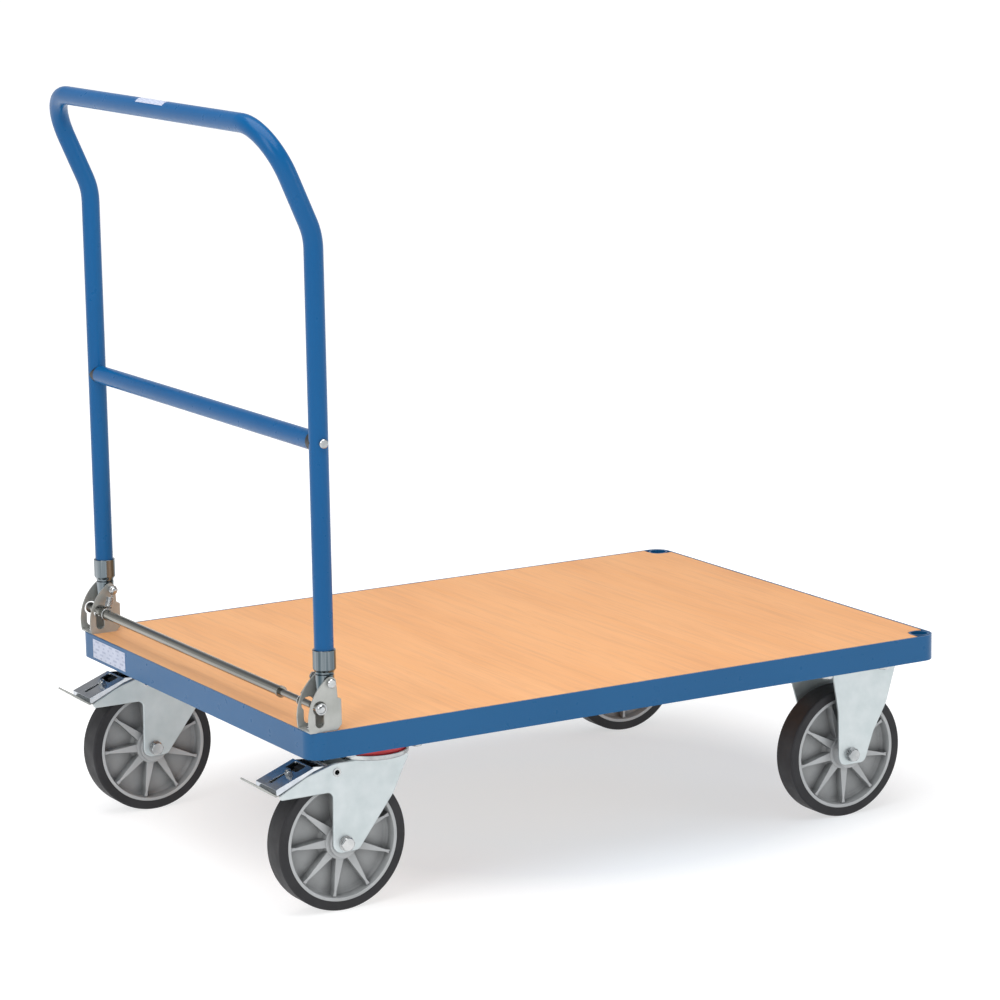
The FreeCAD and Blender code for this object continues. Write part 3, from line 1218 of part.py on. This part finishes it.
def build():
    perimeter_frame()
    cross_members()
    deck_board()
    deck_screws()
    stake_sockets()
    frame_label()
    for name, side in SIDES.items():
        bracket(name, side)
    bracket_bolts()
    pivot_bolts()
    handle_tube()
    cross_bar()
    for name, side in SIDES.items():
        leg_socket(name, side)
    handle_label()
    lock_rod()
    for name, side in SIDES.items():
        lock_spring(name, side)
        swivel_plate(name, side)
        swivel_fork(name, side)
        race_ring(name, side)
        seal_ring(name, side)
        eyelet(name, side)
        axle_pieces = axle(f"swivel_{name}", size("swivel_axle_x"), side, "fork_outer")
        keep(f"{name}_swivel_axle", group(f"SwivelAxle_{name}", list(axle_pieces)))
        brake_pedal(name, side)
        brake_tread(name, side)
        brake_shoe(name, side)
        brake_screw(name, side)
        fixed_fork(name, side)
        wheel(f"{name}_swivel", size("swivel_axle_x"), side, 180, "")
        wheel(f"{name}_fixed", size("fixed_axle_x"), side, 188.8, "fixed_")
    kingpins()
    fixed_axles()
    caster_bolts()


def check_and_write():
    """Refuse failed features and bad shapes, then write one STEP file per node."""
    doc.recompute()
    failed = [o.Label for o in doc.Objects if {"Invalid", "Error"} & set(o.State)]
    assert not failed, f"failed objects: {failed}"
    labels = [piece.Label for piece in nodes]
    assert len(set(labels)) == len(labels) <= 60, f"{len(labels)} nodes"
    for piece in nodes:
        assert not piece.Shape.isNull(), piece.Label + " has no shape"
        assert piece.Shape.isValid(), piece.Label + " is not valid"
        assert piece.Shape.Solids, piece.Label + " has no solid"
    os.makedirs("parts", exist_ok=True)
    for piece in nodes:
        piece.Shape.exportStep(f"parts/{piece.Label}.step")
    print(len(nodes), "nodes written")


build()
check_and_write()
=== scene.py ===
import json
import math

import bpy
from mathutils import Matrix, Vector


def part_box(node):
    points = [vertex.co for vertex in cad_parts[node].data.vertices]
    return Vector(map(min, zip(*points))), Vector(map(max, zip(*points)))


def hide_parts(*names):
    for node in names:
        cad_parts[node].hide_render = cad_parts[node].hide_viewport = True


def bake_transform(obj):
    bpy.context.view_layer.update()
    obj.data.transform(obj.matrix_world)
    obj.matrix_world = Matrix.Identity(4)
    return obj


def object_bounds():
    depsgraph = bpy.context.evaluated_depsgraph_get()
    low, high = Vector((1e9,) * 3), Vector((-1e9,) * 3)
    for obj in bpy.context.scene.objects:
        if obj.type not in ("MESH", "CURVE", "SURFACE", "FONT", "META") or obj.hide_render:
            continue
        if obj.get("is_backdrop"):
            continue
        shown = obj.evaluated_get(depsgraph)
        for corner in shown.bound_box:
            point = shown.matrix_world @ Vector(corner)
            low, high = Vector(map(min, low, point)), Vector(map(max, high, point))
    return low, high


# Platform trolley: procedural materials on the fixed frame, zinc copies of the lock
# springs in place of the originals, and a pale studio. Lengths are in metres.

SIDES = ("right", "left")

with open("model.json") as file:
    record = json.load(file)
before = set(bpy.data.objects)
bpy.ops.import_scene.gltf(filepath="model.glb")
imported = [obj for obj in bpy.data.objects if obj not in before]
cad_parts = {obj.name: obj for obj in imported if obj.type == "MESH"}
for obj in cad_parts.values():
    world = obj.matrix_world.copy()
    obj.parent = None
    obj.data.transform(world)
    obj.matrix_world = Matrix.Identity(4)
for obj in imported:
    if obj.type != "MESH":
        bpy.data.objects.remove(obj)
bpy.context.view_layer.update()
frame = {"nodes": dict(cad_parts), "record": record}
scene = bpy.context.scene
node_slot = {s["node"]: s["material_slot"] for s in frame["record"]["subparts"]}


# ------------------------------------------------------------ node helpers

def new_material(name):
    material = bpy.data.materials.new(name)
    material.use_nodes = True
    tree = material.node_tree
    tree.nodes.clear()
    output = tree.nodes.new("ShaderNodeOutputMaterial")
    shader = tree.nodes.new("ShaderNodeBsdfPrincipled")
    tree.links.new(shader.outputs["BSDF"], output.inputs["Surface"])
    return material, tree, shader


def add(tree, kind, **settings):
    node = tree.nodes.new(kind)
    for name, value in settings.items():
        setattr(node, name, value)
    return node


def set_inputs(node, **values):
    """Set unlinked sockets: set_inputs(node, From_Min=0.3) sets "From Min"."""
    for name, value in values.items():
        node.inputs[name.replace("_", " ")].default_value = value


def coordinates(tree, scale, shift=(0, 0, 0)):
    """The object's own coordinates in metres, stretched by scale and then shifted."""
    source = add(tree, "ShaderNodeTexCoord")
    mapping = add(tree, "ShaderNodeMapping")
    set_inputs(mapping, Scale=scale, Location=shift)
    tree.links.new(source.outputs["Object"], mapping.inputs["Vector"])
    return mapping.outputs["Vector"]


def noise(tree, scale, stretch=(1, 1, 1), detail=3.0, roughness=0.5):
    """Noise whose features are about 1/scale metres wide before the stretch."""
    node = add(tree, "ShaderNodeTexNoise")
    set_inputs(node, Scale=scale, Detail=detail, Roughness=roughness)
    tree.links.new(coordinates(tree, stretch), node.inputs["Vector"])
    return node.outputs["Fac"]


def ramp(tree, factor, stops):
    """Colour ramp: stops are (position, colour)."""
    node = add(tree, "ShaderNodeValToRGB")
    elements = node.color_ramp.elements
    while len(elements) < len(stops):
        elements.new(0.5)
    for element, (position, colour) in zip(elements, stops):
        element.position = position
        element.color = (*colour, 1)
    tree.links.new(factor, node.inputs["Fac"])
    return node.outputs["Color"]


def grey(value):
    return value, value, value


def spread(tree, factor, low, high, start=0.3, end=0.7):
    """Map a texture's range from start to end onto the range from low to high."""
    node = add(tree, "ShaderNodeMapRange")
    set_inputs(node, From_Min=start, From_Max=end, To_Min=low, To_Max=high)
    tree.links.new(factor, node.inputs["Value"])
    return node.outputs["Result"]


def multiply(tree, strength, first, second):
    """Multiply the second colour into the first; strength runs from 0 to 1."""
    node = add(tree, "ShaderNodeMix", data_type="RGBA", blend_type="MULTIPLY")

    def socket(name, kind):
        return next(s for s in node.inputs if s.name == name and s.type == kind)

    socket("Factor", "VALUE").default_value = strength
    tree.links.new(first, socket("A", "RGBA"))
    tree.links.new(second, socket("B", "RGBA"))
    return next(s for s in node.outputs if s.type == "RGBA")


def in_corners(tree, colour, reach, shade):
    """Painted shade: darken a colour within reach metres of an inside corner, where shade falls.
    """
    hidden = add(tree, "ShaderNodeAmbientOcclusion", samples=6)
    set_inputs(hidden, Distance=reach)
    # Painted shade: the less open surroundings a point sees, the darker its colour.
    corner_shade = ramp(tree, hidden.outputs["AO"], [(0.35, grey(shade)), (0.9, grey(1))])
    return multiply(tree, 1.0, colour, corner_shade)


def surface(tree, shader, height, distance, strength, edge):
    """Bump, on top of softly rounded edges if edge, their radius in metres, isn't 0."""
    bump = add(tree, "ShaderNodeBump")
    set_inputs(bump, Strength=strength, Distance=distance)
    tree.links.new(height, bump.inputs["Height"])
    if edge:
        bevel = add(tree, "ShaderNodeBevel", samples=4)
        set_inputs(bevel, Radius=edge)
        tree.links.new(bevel.outputs["Normal"], bump.inputs["Normal"])
    tree.links.new(bump.outputs["Normal"], shader.inputs["Normal"])


# ------------------------------------------------------------ kinds of material

def paint(name, shade, light_shade, shine):
    """Powder coat: slight shade drift, orange peel and a thin clear layer."""
    material, tree, shader = new_material(name)
    drift = noise(tree, 5, detail=1)
    tree.links.new(ramp(tree, drift, [(0.3, shade), (0.75, light_shade)]),
                   shader.inputs["Base Color"])
    tree.links.new(spread(tree, noise(tree, 60), 0.27, 0.33), shader.inputs["Roughness"])
    set_inputs(shader, Specular_IOR_Level=shine, Coat_Weight=shine, Coat_Roughness=0.13)
    surface(tree, shader, noise(tree, 180, detail=0), 0.0002, 0.05, edge=0)
    return material


def metal(name, dark, light, rough, metallic=1.0, streaks=(1, 1, 1), bump=0.06):
    """Plated steel: uneven tone, drawn out along the streaks, uneven gloss and a fine grain."""
    material, tree, shader = new_material(name)
    cloud = noise(tree, 38, streaks, 3, 0.55)
    tree.links.new(ramp(tree, cloud, [(0.3, dark), (0.68, light)]), shader.inputs["Base Color"])
    tree.links.new(spread(tree, noise(tree, 90, streaks, 3), *rough), shader.inputs["Roughness"])
    set_inputs(shader, Metallic=metallic)
    surface(tree, shader, noise(tree, 700, streaks, 2), 0.0001, bump, edge=0.0004)
    return material


def plastic(name, shade, light_shade, rough, corner_shade=None):
    """Moulded plastic or rubber with a fine grain; the optional painted shade in inside corners is
    given as (reach, shade) or nothing.
    """
    material, tree, shader = new_material(name)
    colour = ramp(tree, noise(tree, 25, detail=3), [(0.3, shade), (0.7, light_shade)])
    if corner_shade:
        colour = in_corners(tree, colour, *corner_shade)
    tree.links.new(colour, shader.inputs["Base Color"])
    tree.links.new(spread(tree, noise(tree, 70), *rough), shader.inputs["Roughness"])
    surface(tree, shader, noise(tree, 500, detail=2), 0.0003, 0.12, edge=0.0006)
    return material


def deck_wood():
    """Pale beech board: the grain runs across the trolley, along Y."""
    material, tree, shader = new_material("deck_beech")
    bands = noise(tree, 9, (1.6, 0.22, 1), 3, 0.55)
    tone = ramp(tree, bands, [(0.3, (0.84, 0.405, 0.165)), (0.5, (0.88, 0.44, 0.185)),
                              (0.72, (0.91, 0.47, 0.205))])
    fibres = noise(tree, 150, (1.0, 0.035, 1), 4, 0.65)
    streaks = ramp(tree, fibres, [(0.32, (0.90, 0.86, 0.82)), (0.55, grey(1))])
    pores = noise(tree, 620, (1.0, 0.03, 1), 2, 0.5)
    flecks = ramp(tree, pores, [(0.26, (0.86, 0.80, 0.74)), (0.36, grey(1))])
    toned = multiply(tree, 1.0, tone, streaks)
    tree.links.new(multiply(tree, 0.6, toned, flecks), shader.inputs["Base Color"])
    tree.links.new(spread(tree, fibres, 0.42, 0.55), shader.inputs["Roughness"])
    surface(tree, shader, fibres, 0.0002, 0.1, edge=0.0006)
    return material


def tyre_rubber():
    """Dark grey solid rubber with a dusty bloom."""
    material, tree, shader = new_material("tyre_rubber")
    bloom = noise(tree, 14, detail=5, roughness=0.6)
    tree.links.new(ramp(tree, bloom, [(0.3, (0.017, 0.017, 0.019)), (0.7, (0.026, 0.026, 0.029))]),
                   shader.inputs["Base Color"])
    tree.links.new(spread(tree, noise(tree, 45), 0.5, 0.66), shader.inputs["Roughness"])
    set_inputs(shader, Specular_IOR_Level=0.35)
    surface(tree, shader, noise(tree, 260, detail=3), 0.0005, 0.2, edge=0.0008)
    return material


def label(name, along, across, low, high):
    """Pale film with a few rows of faint bars, which stand for printing."""
    material, tree, shader = new_material(name)
    source = add(tree, "ShaderNodeTexCoord")
    split = add(tree, "ShaderNodeSeparateXYZ")
    tree.links.new(source.outputs["Object"], split.inputs["Vector"])

    def share(axis):
        index = "XYZ".index(axis)
        return spread(tree, split.outputs[axis], 0, 1, low[index], high[index])

    rows = add(tree, "ShaderNodeCombineXYZ")
    tree.links.new(share(along), rows.inputs["X"])
    tree.links.new(share(across), rows.inputs["Y"])
    bars = add(tree, "ShaderNodeTexBrick", offset=0.37, squash=0.7, squash_frequency=3)
    set_inputs(bars, Color1=(0.30, 0.36, 0.50, 1), Color2=(0.60, 0.65, 0.76, 1),
               Mortar=(0.88, 0.89, 0.9, 1), Scale=1.0, Brick_Width=0.21, Row_Height=0.2,
               Mortar_Size=0.055, Bias=-0.2)
    tree.links.new(rows.outputs["Vector"], bars.inputs["Vector"])
    paper = ramp(tree, noise(tree, 60), [(0.3, (0.50, 0.54, 0.67)), (0.7, (0.57, 0.61, 0.74))])
    tree.links.new(multiply(tree, 0.55, paper, bars.outputs["Color"]), shader.inputs["Base Color"])
    set_inputs(shader, Roughness=0.35)
    surface(tree, shader, noise(tree, 300), 0.0001, 0.05, edge=0)
    return material


# ------------------------------------------------------------ materials of the nodes

frame_blue = paint("blue_powder_coat", (0.006, 0.092, 0.235), (0.008, 0.100, 0.252), 0.17)
tube_blue = paint("blue_tube_coat", (0.002, 0.086, 0.245), (0.003, 0.094, 0.265), 0.14)
zinc = metal("zinc_plated", (0.34, 0.36, 0.37), (0.58, 0.59, 0.59), (0.16, 0.28))
satin_zinc = metal("satin_zinc", (0.36, 0.37, 0.35), (0.44, 0.45, 0.43), (0.38, 0.50), 0.55)
drawn_steel = metal("drawn_steel", (0.05, 0.08, 0.095), (0.28, 0.31, 0.33), (0.13, 0.22),
                    streaks=(3.2, 3.2, 0.06))
rod_steel = metal("rod_steel", (0.20, 0.20, 0.18), (0.37, 0.37, 0.34), (0.12, 0.20),
                  streaks=(3.2, 0.06, 3.2), bump=0.02)
fork_zinc = metal("pale_zinc", (0.53, 0.59, 0.60), (0.60, 0.65, 0.66), (0.36, 0.48), 0.75)
pedal_steel = metal("blued_steel", (0.48, 0.52, 0.57), (0.66, 0.69, 0.72), (0.13, 0.22))

slot_material = {
    "blue_paint": frame_blue,
    "deck_wood": deck_wood(),
    "zinc": zinc,
    "zinc_bright": fork_zinc,
    "black_plastic": plastic("black_plastic", (0.008, 0.008, 0.009), (0.014, 0.014, 0.016),
                             (0.38, 0.5)),
    "red_plastic": plastic("red_plastic", (0.55, 0.012, 0.02), (0.66, 0.02, 0.03), (0.3, 0.42)),
    "tyre_rubber": tyre_rubber(),
    # The grey wheels get painted shade within 3 cm of inside corners.
    "wheel_grey": plastic("wheel_grey_nylon", (0.40, 0.415, 0.42), (0.47, 0.485, 0.49),
                          (0.42, 0.55), corner_shade=(0.03, 0.42)),
    "shoe_rubber": plastic("shoe_rubber", (0.012, 0.012, 0.012), (0.02, 0.02, 0.02), (0.6, 0.75)),
}

# Nodes that look different from the rest of their slot.
own_material = {
    "handle_tube": tube_blue, "handle_cross_bar": tube_blue,
    "locking_rod": rod_steel, "rod_sleeve": rod_steel,
}
for side in SIDES:
    own_material[f"{side}_handle_bracket"] = satin_zinc
    own_material[f"{side}_leg_socket"] = drawn_steel
    own_material[f"{side}_race_ring"] = zinc
    own_material[f"{side}_brake_pedal"] = pedal_steel
    own_material[f"{side}_brake_tread"] = satin_zinc


def give(obj, material):
    obj.data.materials.clear()
    obj.data.materials.append(material)


for name, obj in frame["nodes"].items():
    slot = node_slot[name]
    if slot == "label_white":
        low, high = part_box(name)
        across = "Z" if name == "frame_label" else "X"
        give(obj, label(name + "_film", "Y", across, low, high))
    else:
        give(obj, own_material.get(name, slot_material[slot]))


# ------------------------------------------------------------ lock springs


for side in SIDES:
    spring = frame["nodes"][f"{side}_lock_spring"]
    moving = bpy.data.objects.new(f"{side}_sprung_wire", spring.data.copy())
    scene.collection.objects.link(moving)
    give(moving, zinc)
    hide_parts(f"{side}_lock_spring")
    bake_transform(moving)


# ------------------------------------------------------------ floor and light

FLOOR_SIZE = 60


def floor_material():
    """Matt white sheet that glows a little, more away from the trolley, so shadows stay pale."""
    material, tree, shader = new_material("studio_floor")
    # Distance from a point 0.1 m in front of the origin, in steps of about 0.55 m;
    # outwards turns the first three steps into the range from 0 to 1.
    away = add(tree, "ShaderNodeVectorMath", operation="LENGTH")
    tree.links.new(coordinates(tree, (1.82, 1.82, 1), (-0.18, 0, 0)), away.inputs[0])
    outwards = spread(tree, away.outputs["Value"], 0, 1, 0, 3)
    # The bluish middle cancels the warm light that the board sends down.
    tint = ramp(tree, outwards, [(0.15, (0.33, 0.45, 0.56)), (0.33, grey(0.42))])
    grain = ramp(tree, noise(tree, 3, detail=2), [(0.3, grey(0.97)), (0.7, grey(1))])
    tree.links.new(multiply(tree, 1.0, tint, grain), shader.inputs["Base Color"])
    glow = ramp(tree, outwards, [(0.24, grey(0.54)), (0.35, grey(0.71)), (0.5, grey(0.79)),
                                 (1.0, grey(0.95))])
    tree.links.new(glow, shader.inputs["Emission Strength"])
    set_inputs(shader, Roughness=0.9, Specular_IOR_Level=0.1, Emission_Color=(1, 1, 1, 1))
    return material


def studio_floor():
    bpy.ops.mesh.primitive_plane_add(size=FLOOR_SIZE, location=(0, 0, 0))
    floor = bpy.context.object
    floor.name = "studio_floor"
    give(floor, floor_material())
    floor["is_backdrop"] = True


def studio_world():
    """Surroundings that are bright along the horizon and darker overhead."""
    world = bpy.data.worlds.new("studio")
    scene.world = world
    world.use_nodes = True
    tree = world.node_tree
    source = add(tree, "ShaderNodeTexCoord")
    split = add(tree, "ShaderNodeSeparateXYZ")
    tree.links.new(source.outputs["Generated"], split.inputs["Vector"])
    glow = ramp(tree, split.outputs["Z"], [(0.0, (0.85, 0.85, 0.86)), (0.22, (0.7, 0.7, 0.71)),
                                           (0.5, (0.22, 0.22, 0.23))])
    background = tree.nodes["Background"]
    tree.links.new(glow, background.inputs["Color"])
    set_inputs(background, Strength=1.0)


def softbox(name, place, size, power):
    """Rectangular area light that points at the middle of the trolley."""
    middle = Vector((0, 0, 0.4))
    light = bpy.data.lights.new(name, "AREA")
    light.shape = "RECTANGLE"
    light.size, light.size_y = size
    light.energy = power
    obj = bpy.data.objects.new(name, light)
    obj.location = place
    obj.rotation_euler = (middle - Vector(place)).to_track_quat("-Z", "Y").to_euler()
    scene.collection.objects.link(obj)


studio_floor()
studio_world()
softbox("overhead", (-0.5, -0.4, 3.4), (3.4, 2.8), 100)
softbox("key_left", (-3.2, -1.6, 2.6), (1.6, 2.2), 40)
softbox("fill_right", (2.6, -3.4, 2.0), (1.4, 2.4), 22)


# ------------------------------------------------------------ camera

CAMERA_PLACE = (-2.7346, -4.7218, 1.5566)
CAMERA_AZIMUTH = math.radians(30.06)     # to the right of straight along +Y
CAMERA_ELEVATION = math.radians(11.28)   # looking down
CAMERA_ROLL = math.radians(-1.01)


def photo_camera():
    """Camera on the near right of the handle end, slightly above the deck."""
    forward = Vector((math.sin(CAMERA_AZIMUTH) * math.cos(CAMERA_ELEVATION),
                      math.cos(CAMERA_AZIMUTH) * math.cos(CAMERA_ELEVATION),
                      -math.sin(CAMERA_ELEVATION)))
    level = Vector((math.cos(CAMERA_AZIMUTH), -math.sin(CAMERA_AZIMUTH), 0))
    upward = level.cross(forward)
    right = level * math.cos(CAMERA_ROLL) + upward * math.sin(CAMERA_ROLL)
    up = right.cross(forward)
    data = bpy.data.cameras.new("photo")
    data.sensor_width = 36
    data.lens = 132.24
    data.shift_x = 0.0165
    data.shift_y = 0.0111
    data.clip_end = 100
    camera = bpy.data.objects.new("photo", data)
    turn = Matrix((right, up, -forward)).transposed()
    camera.matrix_world = Matrix.Translation(CAMERA_PLACE) @ turn.to_4x4()
    scene.collection.objects.link(camera)
    scene.camera = camera


photo_camera()
scene.view_settings.view_transform = "Standard"
scene.view_settings.look = "None"
scene.view_settings.exposure = 0.0

low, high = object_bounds()
